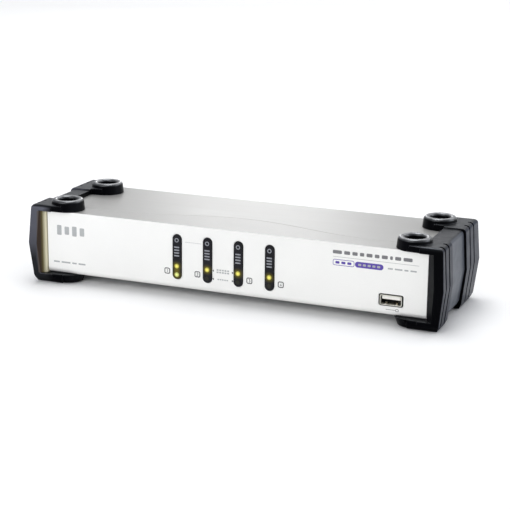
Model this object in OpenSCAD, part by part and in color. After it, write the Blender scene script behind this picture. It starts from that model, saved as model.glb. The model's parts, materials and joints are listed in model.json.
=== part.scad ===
// Four-port desktop KVM switch: a folded steel case behind a moulded bezel, held
// between two ribbed end brackets that carry the feet and the stacking rings.
// Frame: +X to the right seen from the front, +Y to the rear, +Z up.
// Origin: centre of the overall footprint, on the surface that the feet stand on.

/* [Overall] */
// Width over both end brackets
overall_w = 272; // [262:1:282]
// Depth over the end brackets
overall_d = 88; // [86:0.5:92]
// Height from the foot pads to the stacking rings
overall_h = 54; // [53.6:0.1:54.6]

/* [Case] */
// Width of the case between the end brackets
case_w = 250; // [248:1:252]
// Depth of the case from bezel face to rear panel
case_d = 78; // [77:0.5:79]
// Height of the underside of the bezel above the surface
case_z0 = 6; // [5.8:0.1:6.4]
// Height of the top cover above the surface
case_z1 = 46.8; // [46.6:0.1:47.6]
// Thickness of the folded steel
sheet_t = 1; // [0.8:0.1:1.1]
// Wall thickness of the bezel
bezel_t = 2.2; // [2:0.1:2.3]
// Outer radius of the bezel's lower front edge
bezel_r = 3.8; // [3:0.1:4.5]

/* [Visor seam] */
// Depth of the bezel's top flange at its two ends
visor_side = 15.8; // [13:0.2:18]
// How much further back the flange reaches in the middle
visor_bulge = 15.1; // [8:0.1:17]
// Half width of the bulge
visor_half = 84; // [60:1:100]

/* [Port buttons] */
// Width of a button's face
key_w = 5.8; // [5:0.1:6]
// Height of a button's face
key_h = 28.3; // [26:0.1:29]
// Distance between neighbouring buttons
key_pitch = 20.4; // [18:0.1:22]
// Position of the first button
key_x0 = -34.2; // [-36:0.1:-30]
// How far a button's face stands proud of the bezel
key_proud = 0.7; // [0.3:0.1:0.9]
// Height of the middle of a button
key_z = 26.4; // [26:0.1:27]
// Travel of a button
key_travel = 0.6; // [0.3:0.1:0.6]

/* [End brackets] */
// Depth of the grooves between the ridges
groove_depth = 1.2; // [0.6:0.1:1.5]
// How far the plain middle panel lies below the ridges
panel_recess = 1.5; // [1:0.1:2]
// Distance of a stacking ring's centre from the middle of the case
ring_x = 114.3; // [113:0.1:115]
// Outer radius of a stacking ring
ring_r = 10.2; // [9.8:0.1:10.6]
// Radius of the recess in a stacking ring
dish_r = 6; // [5.8:0.1:6.6]
// Radius of a foot pad
pad_r = 5.4; // [5:0.1:5.6]

/* [Hidden] */
$fn = 48;
fit_gap = 0.2;
half_w = overall_w / 2;
half_d = overall_d / 2;
front_y = -half_d + 5.5;
rear_y = front_y + case_d;
case_half = case_w / 2;

// Case
lip_t = 1.6;
tray_z = case_z0 + lip_t;
tray_top = tray_z + sheet_t;
tray_front = front_y + 4.6;
tray_half = case_half - sheet_t - fit_gap;
rear_wall_y = rear_y - sheet_t;
rear_wall_top = case_z1 - sheet_t - fit_gap;
side_wall_y = -30;
side_wall_top = 20;
floor_slot = [2.4, 18];
floor_slot_xs = [-84:12:84];
floor_slot_ys = [-8, 26];
vent = [2, 5.5];
vent_pitch = 7;
vent_zs = [39, 34.5];
cover_over = 0.6;
visor_t = 1.2;
seam_gap = 0.35;
visor_steps = 42;
bezel_back = front_y + bezel_t;
bezel_lip = 11;

// Boards
board_t = 1.6;
front_board_y = front_y + 13.6;
front_board_x = [-52, 121];
front_board_z = [9.6, 43.6];
boss_x = [-47, 62, 117];
boss_z = [12.4, 40.8];
boss_r = 2.6;
main_z = 14;
main_top = main_z + board_t;
main_y = [-21.5, 37];
main_half = 118;
standoff_at = [[-112, -16], [0, -16], [112, -16], [-112, 13], [0, 8], [74, 2]];
standoff_r = 2.9;
screw_r = 1.25;
screw_head_r = 2.6;
screw_head_h = 1.7;
board_hole_r = 1.6;
sheet_screw_r = 1.4;
sheet_hole_r = 1.45;
bezel_screw_xs = [-90, 0, 90];
bezel_screw_y = front_y + 7;
sink_h = 1.3;
cover_screw_ys = [-12, 26];
cover_screw_z = 14;
cover_screw_l = 6;
cross_slot = [1.5, 0.3];

// Buttons, light pipes and switches
key_xs = [for (i = [0:3]) key_x0 + i * key_pitch];
key_front = front_y - key_proud;
key_flange_t = 1;
key_flange = 1.2;
key_back = bezel_back + 0.05 + key_flange_t;
lens_r = 1.5;
lens_zs = [key_z - 5.8, key_z - 11.2];
rib_w = 3.4;
rib_z = 0.4;
rib_pitch = 1.8;
rib_out = 0.25;
mark_z = key_z + 10.7;
mark_r = [0.8, 1.4];
stem_r = 2;
stem_z = key_z + 4.6;
switch_w = 6;
switch_h = 3.4;
plunger_r = 1.7;
plunger_top = front_board_y - switch_h - key_travel - 1.2;

// Ribbon cable between the boards
ribbon_x = [6, 34];
ribbon_t = 0.9;
ribbon_z = 30;
ribbon_y = -8;
ribbon_r = 5;
header_h = 5;

// Parts on the main board
controller_at = [-30, -4];
switch_chip_at = [[-98, 4], [-66, 4], [30, 4], [92, -6]];
capacitor_at = [[100, 8], [100, 17], [88, 8], [-6, -14], [46, -12]];
capacitor_r = 3.15;
capacitor_h = 11;
crystal_at = [[-50, -8], [46, 4]];
buzzer_at = [66, -12];

// Front universal serial bus socket
usb_w = 13.3;
usb_h = 6;
usb_wall = 0.35;
usb_tongue = [11.2, 1.9];
usb_x = 103.3;
usb_z = 15.6;
usb_window = [15.1, 7.3];

// Rear connectors, from the row's end at -X
dsub_pitch = 31.6;
computer_xs = [for (i = [0:3]) -105.5 + i * dsub_pitch];
console_x = 21.5;
dsub_z = main_top + 6.6;
dsub_flange = [30.8, 12.5];
dsub_shell = [16.4, 7.9];
dsub_screw_pitch = 24.99;
dsub_reach = rear_y + 4;
dsub_body = [30, 9.5];
pin_pitch = 2.29;
pin_row = 2;
jack_hole_r = 1.7;
jack_nut_l = 4.5;
jack_nut_r = 2.75;
jack_nut_bore = 1.25;
usb_stack_x = 44.6;
usb_stack_h = 15.6;
usb_stack_d = 15.6;
ps2_x = 59.6;
ps2_w = 14;
ps2_h = 26.6;
ps2_d = 12;
ps2_r = 5.55;
ps2_ring = [3.9, 4.7];
ps2_pin_r = 2.6;
ps2_zs = [main_top + 6.8, main_top + 19.8];
audio_x = 72.6;
audio_zs = [main_top + 5.4, main_top + 17];
audio_bore = 1.8;
audio_w = 10;
audio_split_z = main_top + 11;
audio_top = main_top + 22.6;
audio_collar_r = 3.35;
service_x = 85.2;
service_w = 11.6;
service_h = 11.4;
switch_x = 97.6;
switch_z = main_top + 2.6;
switch_slot = [5.4, 2.4];
slider_travel = 2;
dc_x = 110.4;
dc_w = 9;
dc_h = 11;
dc_z = main_top + 6;
dc_bore = 3.15;
dc_pin_r = 1.05;
dc_collar_r = 4;
ground_at = [113, 38.5];

// End brackets
in_x = case_half + 0.3;
flange_x = in_x - 5;
arm_top = overall_h - 3.2;
arm_low = 0.5;
ledge_top = case_z1;
ledge_low = case_z0;
mid_z = 25.8;
ring_ys = [front_y + 7.8, front_y + 61.8];
bracket_y = [-half_d, half_d - 4];
groups = [[bracket_y[0], front_y + 16], [front_y + 47.5, bracket_y[1]]];
groove_ys = [front_y + 0.7, front_y + 8.7, front_y + 56.5, front_y + 65.5];
groove_w = 1.7;
bevel_x = in_x + 5;
arm_r = ring_r + 0.6;
foot_taper = 2.2;
pad_t = 2.4;
pad_screw_z = pad_t + 1.9;
spigot_r = 4;
wall_low_in = 3.9;
wall_slope_in = 2.5;
wall_slope_z = 3;
wall_top_in = 1.5;
wall_top_r = 2.8;
end_low_in = 3.8;
end_slope_in = 1.5;
end_slope_z = 4.5;
end_top_in = 1.4;
end_top_r = 2.6;
pocket_pitch = 14;
pocket_d = 12;
dish_floor = overall_h - 4.6;
rim_r = (ring_r - dish_r) / 2;

// ---------- shared shapes ----------

// Extrudes a shape drawn in X and Z between two depths.
module between_y(y0, y1) {
    translate([0, y1, 0]) rotate([90, 0, 0]) linear_extrude(y1 - y0) children();
}

// Extrudes a shape drawn in Y and Z between two places across the width.
module between_x(x0, x1) {
    translate([x0, 0, 0]) rotate([90, 0, 90]) linear_extrude(x1 - x0) children();
}

module block(x, y, z) {
    translate([x[0], y[0], z[0]]) cube([x[1] - x[0], y[1] - y[0], z[1] - z[0]]);
}

module rod_y(x, z, r, y0, y1) {
    translate([x, y1, z]) rotate([90, 0, 0]) cylinder(r = r, h = y1 - y0);
}

module rod_z(x, y, r, z0, z1) {
    translate([x, y, z0]) cylinder(r = r, h = z1 - z0);
}

module capsule(w, h) {
    square([w, h - w], center = true);
    for (s = [-1, 1]) translate([0, s * (h - w) / 2]) circle(d = w);
}

module rounded(w, h, r) {
    square([w - 2 * r, h], center = true);
    square([w, h - 2 * r], center = true);
    for (i = [-1, 1], j = [-1, 1]) translate([i * (w / 2 - r), j * (h / 2 - r)]) circle(r);
}

module mirrored() {
    children();
    mirror([1, 0, 0]) children();
}

function arc(cx, cy, r, a0, a1, n) =
    [for (i = [0:n]) let (a = a0 + (a1 - a0) * i / n) [cx + r * cos(a), cy + r * sin(a)]];

// A pan-head screw along +Y whose head starts at y.
module screw_y(x, z, y, length) {
    rod_y(x, z, screw_head_r, y, y + screw_head_h);
    rod_y(x, z, screw_r, y - length, y + 0.5);
}

// ---------- case ----------

// How far the bezel's top flange reaches behind the bezel's face, at a place across the width.
function visor_depth(x) =
    visor_side + (abs(x) < visor_half ? visor_bulge * (1 + cos(180 * x / visor_half)) / 2 : 0);

function visor_edge(gap) =
    [for (i = [0:visor_steps]) let (x = visor_half * (2 * i / visor_steps - 1))
        [x, front_y + visor_depth(x) + gap]];

module bezel_section() {
    depth = bezel_lip;
    height = case_z1 - case_z0;
    translate([front_y, case_z0]) difference() {
        square([depth, height]);
        difference() {
            square(bezel_r);
            translate([bezel_r, bezel_r]) circle(bezel_r);
        }
        inner_r = bezel_r - lip_t;
        difference() {
            translate([bezel_t, lip_t]) square([depth, height - lip_t - visor_t]);
            translate([bezel_t, lip_t]) difference() {
                square(inner_r);
                translate([inner_r, inner_r]) circle(inner_r);
            }
        }
    }
}

module front_bezel() {
    color("gainsboro") difference() {
        union() {
            between_x(-case_half, case_half) bezel_section();
            translate([0, 0, case_z1 - visor_t]) linear_extrude(visor_t) polygon(concat(
                [[-case_half, front_y + 8], [-case_half, front_y + visor_side]],
                visor_edge(0),
                [[case_half, front_y + visor_side], [case_half, front_y + 8]]));
            for (x = boss_x, z = boss_z) rod_y(x, z, boss_r, bezel_back - 0.5, front_board_y);
        }
        between_y(front_y - 1, bezel_back + 0.01) {
            for (x = key_xs) translate([x, key_z]) capsule(key_w + 0.4, key_h + 0.4);
            translate([usb_x, usb_z]) rounded(usb_window[0], usb_window[1], 1.2);
        }
        for (x = boss_x, z = boss_z) rod_y(x, z, screw_r + 0.05, front_board_y - 8, front_board_y + 1);
        for (x = bezel_screw_xs) {
            translate([x, bezel_screw_y, case_z0 - 0.01])
                cylinder(r1 = screw_head_r, r2 = sheet_screw_r + 0.1, h = sink_h);
            rod_z(x, bezel_screw_y, sheet_screw_r + 0.1, case_z0 + 1, tray_z + 1);
        }
        for (s = [-1, 1])
            rod_z(s * ring_x, ring_ys[0], spigot_r + fit_gap, case_z0 - 1, tray_z + 0.5);
    }
}

module rear_cutouts() {
    for (x = concat(computer_xs, [console_x])) {
        translate([x, dsub_z]) polygon(dsub_outline(dsub_shell[0] + 0.6, dsub_shell[1] + 0.6));
        for (s = [-1, 1]) translate([x + s * dsub_screw_pitch / 2, dsub_z]) circle(jack_hole_r);
    }
    translate([usb_stack_x, main_top + usb_stack_h / 2 + 0.2])
        square([usb_w + 0.5, usb_stack_h + 0.5], center = true);
    translate([ps2_x, main_top + ps2_h / 2]) square([ps2_w + 0.5, ps2_h + 0.5], center = true);
    for (z = audio_zs) translate([audio_x, z]) circle(audio_collar_r + 0.1);
    translate([service_x, main_top + service_h / 2 + 0.1])
        square([service_w + 0.5, service_h + 0.5], center = true);
    translate([switch_x, switch_z]) square(switch_slot, center = true);
    translate([dc_x, dc_z]) circle(dc_collar_r + 0.1);
    translate(ground_at) circle(1.5);
    for (row = [0, 1], x = [-105:vent_pitch:-16])
        translate([x + row * vent_pitch / 2, vent_zs[row]]) rotate(90) capsule(vent[0], vent[1]);
}

module base_chassis() {
    color("silver") difference() {
        union() {
            block([-tray_half, tray_half], [tray_front, rear_y], [tray_z, tray_top]);
            between_y(rear_wall_y, rear_y) difference() {
                translate([-tray_half, tray_top - 0.5])
                    square([2 * tray_half, rear_wall_top - tray_top + 0.5]);
                rear_cutouts();
            }
            mirrored() block([tray_half - sheet_t, tray_half], [side_wall_y, rear_wall_y + 0.1],
                [tray_top - 0.5, side_wall_top]);
        }
        for (x = bezel_screw_xs) rod_z(x, bezel_screw_y, sheet_hole_r, tray_z - 1, tray_top + 1);
        for (s = [-1, 1], y = ring_ys)
            rod_z(s * ring_x, y, sheet_hole_r, tray_z - 1, tray_top + 1);
        for (x = floor_slot_xs, y = floor_slot_ys) translate([x, y, tray_z - 1])
            linear_extrude(sheet_t + 2) capsule(floor_slot[0], floor_slot[1]);
        mirrored() for (y = cover_screw_ys) translate([tray_half - 3, y, cover_screw_z])
            rotate([0, 90, 0]) cylinder(r = sheet_hole_r, h = 6);
    }
}

module top_cover() {
    side_front = front_y + visor_side + seam_gap;
    color("darkgray") difference() {
        union() {
            translate([0, 0, case_z1 - sheet_t]) linear_extrude(sheet_t) polygon(concat(
                [[-case_half, rear_y + cover_over], [-case_half, side_front]],
                visor_edge(seam_gap),
                [[case_half, side_front], [case_half, rear_y + cover_over]]));
            mirrored() {
                block([case_half - sheet_t, case_half], [front_y + 4.6, rear_y + cover_over],
                    [tray_z + 0.2, case_z1 - visor_t - 0.1]);
                block([case_half - sheet_t, case_half], [side_front, rear_y + cover_over],
                    [case_z1 - 2 * visor_t, case_z1 - 0.5]);
            }
        }
        mirrored() for (y = cover_screw_ys)
            translate([case_half - sheet_t - 0.01, y, cover_screw_z]) rotate([0, 90, 0])
            cylinder(r1 = sheet_screw_r + 0.15, r2 = screw_head_r + 0.05, h = sheet_t + 0.02);
    }
}

module cover_screws() {
    color("dimgray") mirrored() for (y = cover_screw_ys)
        translate([case_half - cover_screw_l, y, cover_screw_z]) rotate([0, 90, 0]) {
            translate([0, 0, cover_screw_l - sheet_t])
                cylinder(r1 = sheet_screw_r, r2 = screw_head_r - 0.1, h = sheet_t);
            cylinder(r = sheet_screw_r, h = cover_screw_l - sheet_t + 0.1);
        }
}

module bezel_screws() {
    color("dimgray") for (x = bezel_screw_xs) translate([x, bezel_screw_y, case_z0]) {
        difference() {
            cylinder(r1 = screw_head_r - 0.1, r2 = sheet_screw_r, h = sink_h);
            for (a = [0, 90]) rotate(a) block([-cross_slot[0], cross_slot[0]],
                [-cross_slot[1], cross_slot[1]], [-1, 0.9]);
        }
        rod_z(0, 0, sheet_screw_r, 1, tray_top + 2 - case_z0);
    }
}

// ---------- end brackets ----------

// The right bracket's outer outline in X and Z, pulled in by a distance.
function bracket_outline(inset, low, top) =
    let (x = half_w - inset, r = wall_top_r)
    concat(
        [[flange_x, low], [x - wall_low_in, low], [x - wall_slope_in, low + wall_slope_z],
         [x, mid_z]],
        arc(x - wall_top_in - r, top - r, r, 6, 90, 8),
        [[flange_x, top]]);

// The bracket seen from the side: both ends bulge at mid height.
module side_profile() {
    y = bracket_y;
    r = end_top_r;
    polygon(concat(
        [[y[0] + end_low_in, 0], [y[0] + end_slope_in, end_slope_z], [y[0], mid_z]],
        arc(y[0] + end_top_in + r, arm_top - r, r, 176, 90, 6),
        arc(y[1] - end_top_in - r, arm_top - r, r, 90, 4, 6),
        [[y[1], mid_z], [y[1] - end_slope_in, end_slope_z], [y[1] - end_low_in, 0]]));
}

// What lies outside a smaller outline, from a place across the width outwards.
module outside(from_x, inset, low, top) {
    difference() {
        translate([from_x, -1]) square([half_w - from_x + 1, overall_h + 2]);
        polygon(bracket_outline(inset, low, top));
    }
}

module bracket_wall() {
    difference() {
        intersection() {
            between_y(bracket_y[0], bracket_y[1]) polygon(bracket_outline(0, arm_low, arm_top));
            between_x(flange_x - 1, half_w + 1) side_profile();
        }
        between_y(groups[0][1], groups[1][0])
            outside(flange_x - 1, panel_recess, arm_low + 2.8, arm_top - 0.9);
        for (y = groove_ys) between_y(y - groove_w / 2, y + groove_w / 2)
            outside(half_w - 5.2, groove_depth, arm_low - 3, arm_top - 1.1);
    }
}

module ring_section() {
    low = ledge_top;
    high = overall_h - rim_r;
    square_w = dish_r + 0.01;
    translate([0, low]) square([square_w, dish_floor - low]);
    polygon([[dish_r, low], [arm_r, low], [ring_r, high], [dish_r, high]]);
    translate([ring_r - rim_r, high]) circle(rim_r);
}

// Plan of an arm: a disc and the two straight edges that run from it to the wall.
function touching(p, c, r, side) =
    let (d = norm(c - p), a = atan2(c[1] - p[1], c[0] - p[0]) + side * asin(r / d),
         l = sqrt(d * d - r * r))
    [p[0] + l * cos(a), p[1] + l * sin(a)];

function arm_corner(i, k) = [half_w - 6, groups[i][k] + (k == 0 ? 1.6 : 0)];

function arm_edge(i, k) =
    touching(arm_corner(i, k), [ring_x, ring_ys[i]], arm_r - 0.02, k == 0 ? 1 : -1);

function arm_plan(i) =
    [arm_corner(i, 0), arm_corner(i, 1), arm_edge(i, 1), [ring_x, ring_ys[i]], arm_edge(i, 0)];

// A foot: the arm's outline with its two straight sides and its round end slanting inwards.
module foot(i) {
    high = ledge_low - arm_low;
    translate([ring_x, ring_ys[i], arm_low])
        cylinder(r1 = arm_r - foot_taper, r2 = arm_r, h = high);
    difference() {
        translate([0, 0, arm_low]) linear_extrude(high) polygon(arm_plan(i));
        for (k = [0, 1]) {
            along = arm_edge(i, k) - arm_corner(i, k);
            side = k == 0 ? -1 : 1;
            translate(concat(arm_corner(i, k) - along, ledge_low))
                rotate([90, 0, atan2(along[1], along[0]) + 90]) rotate([0, 90, 0])
                linear_extrude(2 * norm(along))
                polygon([[0, 0], [high + 1, 0], [high + 1, side * (foot_taper + foot_taper / high)]]);
        }
    }
}

module right_end_bracket() {
    color([0.12, 0.12, 0.14]) difference() {
        union() {
            bracket_wall();
            intersection() {
                for (i = [0, 1]) {
                    translate([0, 0, ledge_top]) linear_extrude(arm_top - ledge_top)
                        polygon(arm_plan(i));
                    foot(i);
                }
                between_x(ring_x - ring_r - 5, half_w) side_profile();
            }
            for (y = ring_ys) {
                translate([ring_x, y, 0]) rotate_extrude() ring_section();
                rod_z(ring_x, y, spigot_r, ledge_low - 0.5, tray_z);
            }
        }
        // The case, and the slanted inner face beside the bezel.
        block([flange_x - 1, in_x], [-overall_d, overall_d], [ledge_low, ledge_top]);
        translate([0, 0, ledge_low]) linear_extrude(ledge_top - ledge_low) polygon([
            [in_x - 1, front_y - 0.6], [in_x, front_y - 0.6], [bevel_x, -half_d - 0.01],
            [in_x - 1, -half_d - 0.01]]);
        // Pockets behind the outer wall.
        for (y = [front_y + 4:pocket_pitch:front_y + 60]) between_y(y, y + pocket_d)
            polygon([[in_x - 1, 9], [half_w - 7.4, 9], [half_w - 4.2, mid_z],
                [half_w - 6.2, 43], [in_x - 1, 43]]);
        // Seats of the foot pads and of the screws above them.
        for (y = ring_ys) {
            rod_z(ring_x, y, pad_r + 0.1, -1, pad_t);
            rod_z(ring_x, y, screw_head_r + 0.3, pad_t - 0.5, pad_screw_z);
            rod_z(ring_x, y, board_hole_r, 0, tray_z + 1);
        }
    }
}

module left_end_bracket() {
    mirror([1, 0, 0]) right_end_bracket();
}

module foot_pads() {
    color([0.08, 0.08, 0.08]) mirrored() for (y = ring_ys) rod_z(ring_x, y, pad_r, 0, pad_t);
}

module bracket_screws() {
    color("dimgray") mirrored() for (y = ring_ys) {
        rod_z(ring_x, y, screw_head_r, pad_t + 0.3, pad_screw_z);
        rod_z(ring_x, y, sheet_screw_r, pad_t + 1, tray_top + 1);
    }
}

// ---------- buttons and front board ----------

module port_button(i) {
    x = key_xs[i];
    color([0.05, 0.05, 0.06]) difference() {
        union() {
            between_y(key_front, bezel_back + 0.5) translate([x, key_z]) capsule(key_w, key_h);
            between_y(bezel_back + 0.05, key_back) translate([x, key_z])
                capsule(key_w + 2 * key_flange, key_h + 2 * key_flange);
            rod_y(x, stem_z, stem_r, key_back - 0.5, plunger_top);
            // Grip ribs and the ring mark above them.
            for (k = [0:3]) let (z = key_z + rib_z + rib_pitch * k)
                block([x - rib_w / 2, x + rib_w / 2], [key_front - rib_out, key_front + 0.3],
                    [z, z + rib_pitch / 2]);
            rod_y(x, mark_z, mark_r[1], key_front - rib_out, key_front + 0.3);
        }
        for (z = lens_zs) rod_y(x, z, lens_r, key_front - 1, key_back + 1);
        rod_y(x, mark_z, mark_r[0], key_front - 1, key_front);
    }
}

module light_pipes(i) {
    color("khaki") for (z = lens_zs)
        rod_y(key_xs[i], z, lens_r - 0.05, key_front - 0.15, front_board_y - 2);
}

module switch_plunger(i) {
    color("black") rod_y(key_xs[i], stem_z, plunger_r, plunger_top, front_board_y - 2);
}

module switch_bodies() {
    color("dimgray") for (x = key_xs) difference() {
        block([x - switch_w / 2, x + switch_w / 2], [front_board_y - switch_h, front_board_y],
            [stem_z - switch_w / 2, stem_z + switch_w / 2]);
        rod_y(x, stem_z, plunger_r + 0.1, front_board_y - switch_h - 1, front_board_y - 1);
    }
}

module led_emitters() {
    color("white") for (x = key_xs, z = lens_zs)
        block([x - 0.8, x + 0.8], [front_board_y - 1, front_board_y], [z - 1, z + 1]);
}

module front_board() {
    color("darkgreen") difference() {
        block(front_board_x, [front_board_y, front_board_y + board_t], front_board_z);
        for (x = boss_x, z = boss_z)
            rod_y(x, z, board_hole_r, front_board_y - 1, front_board_y + board_t + 1);
    }
}

module front_board_screws() {
    color("silver") for (x = boss_x, z = boss_z) screw_y(x, z, front_board_y + board_t, 7);
}

module usb_tongue(x, z, y0, y1) {
    block([x - usb_tongue[0] / 2, x + usb_tongue[0] / 2], [y0, y1], [z, z + usb_tongue[1]]);
}

module front_usb_shell() {
    color("silver") between_y(front_y - 0.3, front_board_y - 0.05) translate([usb_x, usb_z])
        difference() {
            rounded(usb_w, usb_h, 0.7);
            square([usb_w - 2 * usb_wall, usb_h - 2 * usb_wall], center = true);
        }
}

module front_usb_insert() {
    inner = usb_w / 2 - usb_wall - 0.05;
    tall = usb_h / 2 - usb_wall - 0.05;
    color("white") {
        block([usb_x - inner, usb_x + inner], [front_board_y - 3.6, front_board_y - 0.05],
            [usb_z - tall, usb_z + tall]);
        usb_tongue(usb_x, usb_z + 0.3, front_y + 0.9, front_board_y - 3);
    }
}

// ---------- main board ----------

module main_board() {
    color("darkgreen") difference() {
        block([-main_half, main_half], main_y, [main_z, main_top]);
        for (p = standoff_at) rod_z(p[0], p[1], board_hole_r, main_z - 1, main_top + 1);
    }
}

module standoffs() {
    color("goldenrod") for (p = standoff_at) translate([p[0], p[1], tray_top]) difference() {
        cylinder(r = standoff_r, h = main_z - tray_top, $fn = 6);
        cylinder(r = screw_r + 0.05, h = main_z);
    }
}

module main_board_screws() {
    color("silver") for (p = standoff_at) {
        rod_z(p[0], p[1], screw_head_r, main_top, main_top + screw_head_h);
        rod_z(p[0], p[1], screw_r, tray_top + 0.6, main_top + 0.5);
    }
}

module chip(x, y, w, h) {
    block([x - w / 2, x + w / 2], [y - w / 2, y + w / 2], [main_top + 0.1, main_top + h]);
    leads = floor(w / 1.6);
    for (i = [0:leads - 1], a = [0:90:270]) translate([x, y, main_top]) rotate(a)
        translate([(i - (leads - 1) / 2) * 1.4 - 0.25, w / 2 - 0.1, 0]) cube([0.5, 1.4, 0.3]);
}

module main_controller() {
    color([0.1, 0.1, 0.1]) chip(controller_at[0], controller_at[1], 20, 1.6);
}

module switch_chips() {
    color([0.1, 0.1, 0.1]) for (p = switch_chip_at) chip(p[0], p[1], 12, 1.4);
}

module power_capacitors() {
    color("steelblue") for (p = capacitor_at)
        rod_z(p[0], p[1], capacitor_r, main_top, main_top + capacitor_h);
}

module crystals() {
    color("silver") for (p = crystal_at) translate([p[0], p[1], main_top])
        linear_extrude(3.4) rotate(90) capsule(4.6, 11);
}

module buzzer() {
    color("black") translate([buzzer_at[0], buzzer_at[1], main_top]) difference() {
        rod_z(0, 0, 6, 0, 7.5);
        rod_z(0, 0, 1, 5, 8);
    }
}

// ---------- ribbon between the boards ----------

module ribbon_headers() {
    color("ivory") {
        block([ribbon_x[0] - 2, ribbon_x[1] + 2],
            [front_board_y + board_t, front_board_y + board_t + header_h],
            [ribbon_z - 3, ribbon_z + 3]);
        block([ribbon_x[0] - 2, ribbon_x[1] + 2], [ribbon_y - 3, ribbon_y + 3],
            [main_top, main_top + header_h]);
    }
}

module ribbon_cable() {
    y0 = front_board_y + board_t + header_h;
    z0 = main_top + header_h;
    bend_y = ribbon_y - ribbon_r;
    color("lightgray") between_x(ribbon_x[0], ribbon_x[1]) {
        translate([y0, ribbon_z - ribbon_t / 2]) square([bend_y - y0, ribbon_t]);
        translate([bend_y, ribbon_z - ribbon_r]) intersection() {
            difference() {
                circle(ribbon_r + ribbon_t / 2);
                circle(ribbon_r - ribbon_t / 2);
            }
            square(2 * ribbon_r);
        }
        translate([ribbon_y - ribbon_t / 2, z0]) square([ribbon_t, ribbon_z - ribbon_r - z0]);
    }
}

// ---------- rear connectors ----------

// A D-shaped outline, wide at the top, with cut corners.
function dsub_outline(w, h) =
    let (s = h * tan(10), c = 1.2)
    [[-w / 2 + c, h / 2], [w / 2 - c, h / 2], [w / 2, h / 2 - c], [w / 2 - s, -h / 2 + c],
     [w / 2 - s - c, -h / 2], [-w / 2 + s + c, -h / 2], [-w / 2 + s, -h / 2 + c],
     [-w / 2, h / 2 - c]];

module dsub_shell(x) {
    w = dsub_shell[0];
    h = dsub_shell[1];
    color("silver") difference() {
        union() {
            between_y(rear_wall_y - 0.9, rear_wall_y - 0.1) translate([x, dsub_z])
                square(dsub_flange, center = true);
            between_y(rear_wall_y - 0.9, dsub_reach) translate([x, dsub_z])
                polygon(dsub_outline(w, h));
        }
        between_y(rear_wall_y - 2, dsub_reach + 1) translate([x, dsub_z])
            polygon(dsub_outline(w - 1, h - 1));
        for (s = [-1, 1]) rod_y(x + s * dsub_screw_pitch / 2, dsub_z, jack_hole_r,
            rear_wall_y - 2, rear_wall_y + 1);
    }
}

module dsub_insert(x, columns) {
    w = dsub_shell[0] - 1.2;
    h = dsub_shell[1] - 1.2;
    difference() {
        union() {
            between_y(rear_wall_y - 1.5, dsub_reach - 0.3) translate([x, dsub_z])
                polygon(dsub_outline(w, h));
            block([x - dsub_body[0] / 2, x + dsub_body[0] / 2],
                [rear_wall_y - dsub_body[1], rear_wall_y - 1], [main_top, dsub_z + 6.2]);
        }
        for (row = [-1:1], i = [0:columns - 1])
            rod_y(x + (i - (columns - 1) / 2) * pin_pitch + row * pin_pitch / 4 - 0.2,
                dsub_z + row * pin_row, 0.5, dsub_reach - 4, dsub_reach + 1);
        for (s = [-1, 1]) rod_y(x + s * dsub_screw_pitch / 2, dsub_z, jack_hole_r,
            rear_wall_y - 5, rear_wall_y + 1);
    }
}

module console_video_shell() {
    dsub_shell(console_x);
}

module console_video_insert() {
    color("royalblue") dsub_insert(console_x, 5);
}

module computer_port_shells() {
    for (x = computer_xs) dsub_shell(x);
}

module computer_port_inserts() {
    color("gold") for (x = computer_xs) dsub_insert(x, 5);
}

module jack_nuts() {
    color("silver") for (x = concat(computer_xs, [console_x]), s = [-1, 1])
        translate([x + s * dsub_screw_pitch / 2, 0, dsub_z]) difference() {
            union() {
                translate([0, rear_y + jack_nut_l, 0]) rotate([90, 0, 0])
                    cylinder(r = jack_nut_r, h = jack_nut_l, $fn = 6);
                rod_y(0, 0, 1.5, rear_wall_y - 4, rear_y + 0.5);
            }
            rod_y(0, 0, jack_nut_bore, rear_y - 0.2, rear_y + 6);
        }
}

module console_usb_shell() {
    inside = [usb_w - 2 * usb_wall, usb_h - 2 * usb_wall];
    color("silver") between_y(rear_y - usb_stack_d, rear_y + 0.4)
        translate([usb_stack_x, main_top + 0.3]) difference() {
            translate([-usb_w / 2, 0]) square([usb_w, usb_stack_h]);
            for (z = [0.4, usb_stack_h - 0.4 - inside[1]])
                translate([-inside[0] / 2, z]) square(inside);
        }
}

module console_usb_insert() {
    tall = usb_h - 2 * usb_wall - 0.1;
    wide = usb_w / 2 - usb_wall - 0.05;
    x = usb_stack_x;
    color("white") for (z = [0.75, usb_stack_h - 0.15 - tall]) {
        block([x - wide, x + wide], [rear_y - usb_stack_d, rear_y - 12],
            [main_top + z, main_top + z + tall]);
        usb_tongue(x, main_top + z + 2.6, rear_y - 12.5, rear_y - 1);
    }
}

module ps2_shield() {
    color("silver") difference() {
        block([ps2_x - ps2_w / 2, ps2_x + ps2_w / 2], [rear_y - ps2_d - 1, rear_y + 0.4],
            [main_top, main_top + ps2_h]);
        for (z = ps2_zs) rod_y(ps2_x, z, ps2_r + 0.05, rear_y - ps2_d, rear_y + 1);
    }
}

// A round six-way socket face: five contact holes around and a key slot.
module ps2_insert(z) {
    difference() {
        rod_y(ps2_x, z, ps2_r, rear_y - ps2_d, rear_y);
        difference() {
            rod_y(ps2_x, z, ps2_ring[1], rear_y - 1.6, rear_y + 1);
            rod_y(ps2_x, z, ps2_ring[0], rear_y - 2, rear_y + 2);
        }
        for (a = [30:60:330]) rod_y(ps2_x + ps2_pin_r * cos(a), z + ps2_pin_r * sin(a), 0.55,
            rear_y - 5, rear_y + 1);
        block([ps2_x - 1.1, ps2_x + 1.1], [rear_y - 5, rear_y + 1], [z - 0.8, z + 0.8]);
    }
}

module ps2_keyboard_insert() {
    color("mediumpurple") ps2_insert(ps2_zs[0]);
}

module ps2_mouse_insert() {
    color("mediumseagreen") ps2_insert(ps2_zs[1]);
}

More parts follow.
